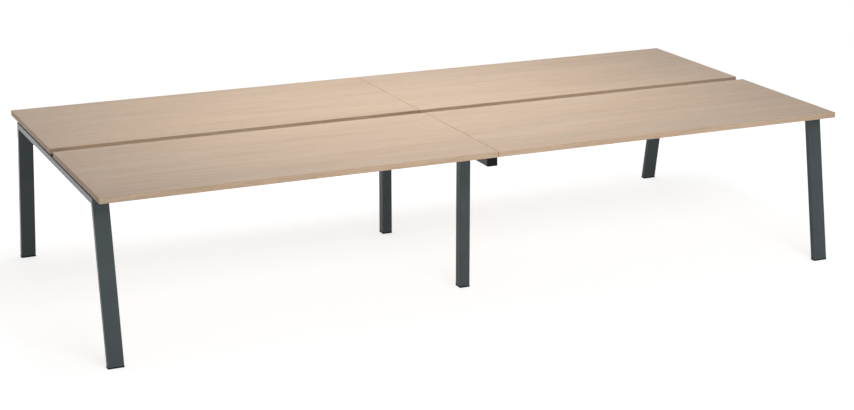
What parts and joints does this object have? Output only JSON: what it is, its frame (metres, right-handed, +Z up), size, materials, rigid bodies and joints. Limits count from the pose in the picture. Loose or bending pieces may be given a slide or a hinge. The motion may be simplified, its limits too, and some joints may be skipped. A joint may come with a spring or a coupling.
{
  "type": "bench desk",
  "caption": "Back-to-back bench desk: wood-grain worktops with a cable gap on splayed steel end frames and an inset centre frame, with levelling feet.",
  "frame": {"origin": "on the floor, under the middle of the desk", "axes": "+Z up, +X along the desk's length, -Y towards the front row of seats"},
  "size_m": [3.6, 1.6648, 0.74],
  "materials": {
    "worktop_board": "matt wood-grain melamine",
    "edge_band": "satin wood-grain edging",
    "frame_steel": "fine textured powder coat, dark grey",
    "black_plastic": "moulded, matt black",
    "zinc_steel": "bright zinc plate"
  },
  "bodies": {
    "desk_frame": {"edge_band_front_left": "edge_band", "edge_band_front_right": "edge_band", "edge_band_rear_left": "edge_band", "edge_band_rear_right": "edge_band", "end_beam_left": "frame_steel", "end_beam_right": "frame_steel", "foot_cap_front_left": "black_plastic", "foot_cap_front_right": "black_plastic", "foot_cap_middle_front": "black_plastic", "foot_cap_middle_rear": "black_plastic", "foot_cap_rear_left": "black_plastic", "foot_cap_rear_right": "black_plastic", "leg_front_left": "frame_steel", "leg_front_right": "frame_steel", "leg_rear_left": "frame_steel", "leg_rear_right": "frame_steel", "middle_beam": "frame_steel", "middle_beam_cap_front": "black_plastic", "middle_beam_cap_rear": "black_plastic", "middle_leg_front": "frame_steel", "middle_leg_rear": "frame_steel", "rail_bolts": "zinc_steel", "rail_front_left": "frame_steel", "rail_front_right": "frame_steel", "rail_plates_front_left": "frame_steel", "rail_plates_front_right": "frame_steel", "rail_plates_rear_left": "frame_steel", "rail_plates_rear_right": "frame_steel", "rail_rear_left": "frame_steel", "rail_rear_right": "frame_steel", "rail_rivet_nuts": "zinc_steel", "top_plates_left": "frame_steel", "top_plates_middle": "frame_steel", "top_plates_right": "frame_steel", "top_screws": "zinc_steel", "worktop_front_left": "worktop_board", "worktop_front_right": "worktop_board", "worktop_rear_left": "worktop_board", "worktop_rear_right": "worktop_board"},
    "front_left_glide": {"glide_front_left": "black_plastic"},
    "front_left_stud": {"glide_stud_front_left": "zinc_steel"},
    "front_right_glide": {"glide_front_right": "black_plastic"},
    "front_right_stud": {"glide_stud_front_right": "zinc_steel"},
    "rear_left_glide": {"glide_rear_left": "black_plastic"},
    "rear_left_stud": {"glide_stud_rear_left": "zinc_steel"},
    "rear_right_glide": {"glide_rear_right": "black_plastic"},
    "rear_right_stud": {"glide_stud_rear_right": "zinc_steel"},
    "middle_front_glide": {"glide_middle_front": "black_plastic"},
    "middle_front_stud": {"glide_stud_middle_front": "zinc_steel"},
    "middle_rear_glide": {"glide_middle_rear": "black_plastic"},
    "middle_rear_stud": {"glide_stud_middle_rear": "zinc_steel"}
  },
  "joints": [
    {"name": "front_left_glide_slide", "type": "slide", "parent": "desk_frame", "child": "front_left_glide", "axis": [0, 0, -1], "range_m": [0, 0.01125]},
    {"name": "front_left_stud_turn", "type": "hinge", "parent": "front_left_glide", "child": "front_left_stud", "pos_m": [-1.764, -0.81621, 0], "axis": [0, 0, -1], "range_deg": [0, 3240]},
    {"name": "front_right_glide_slide", "type": "slide", "parent": "desk_frame", "child": "front_right_glide", "axis": [0, 0, -1], "range_m": [0, 0.01125]},
    {"name": "front_right_stud_turn", "type": "hinge", "parent": "front_right_glide", "child": "front_right_stud", "pos_m": [1.764, -0.81621, 0], "axis": [0, 0, -1], "range_deg": [0, 3240]},
    {"name": "rear_left_glide_slide", "type": "slide", "parent": "desk_frame", "child": "rear_left_glide", "axis": [0, 0, -1], "range_m": [0, 0.01125]},
    {"name": "rear_left_stud_turn", "type": "hinge", "parent": "rear_left_glide", "child": "rear_left_stud", "pos_m": [-1.764, 0.81621, 0], "axis": [0, 0, -1], "range_deg": [0, 3240]},
    {"name": "rear_right_glide_slide", "type": "slide", "parent": "desk_frame", "child": "rear_right_glide", "axis": [0, 0, -1], "range_m": [0, 0.01125]},
    {"name": "rear_right_stud_turn", "type": "hinge", "parent": "rear_right_glide", "child": "rear_right_stud", "pos_m": [1.764, 0.81621, 0], "axis": [0, 0, -1], "range_deg": [0, 3240]},
    {"name": "middle_front_glide_slide", "type": "slide", "parent": "desk_frame", "child": "middle_front_glide", "axis": [0, 0, -1], "range_m": [0, 0.01125]},
    {"name": "middle_front_stud_turn", "type": "hinge", "parent": "middle_front_glide", "child": "middle_front_stud", "pos_m": [0, -0.464, 0], "axis": [0, 0, -1], "range_deg": [0, 3240]},
    {"name": "middle_rear_glide_slide", "type": "slide", "parent": "desk_frame", "child": "middle_rear_glide", "axis": [0, 0, -1], "range_m": [0, 0.01125]},
    {"name": "middle_rear_stud_turn", "type": "hinge", "parent": "middle_rear_glide", "child": "middle_rear_stud", "pos_m": [0, 0.464, 0], "axis": [0, 0, -1], "range_deg": [0, 3240]}
  ],
  "couplings": [
    {"joint": "front_left_stud_turn", "follows": "front_left_glide_slide", "rad_per_m": 5026.5},
    {"joint": "front_right_stud_turn", "follows": "front_right_glide_slide", "rad_per_m": 5026.5},
    {"joint": "rear_left_stud_turn", "follows": "rear_left_glide_slide", "rad_per_m": 5026.5},
    {"joint": "rear_right_stud_turn", "follows": "rear_right_glide_slide", "rad_per_m": 5026.5},
    {"joint": "middle_front_stud_turn", "follows": "middle_front_glide_slide", "rad_per_m": 5026.5},
    {"joint": "middle_rear_stud_turn", "follows": "middle_rear_glide_slide", "rad_per_m": 5026.5}
  ]
}
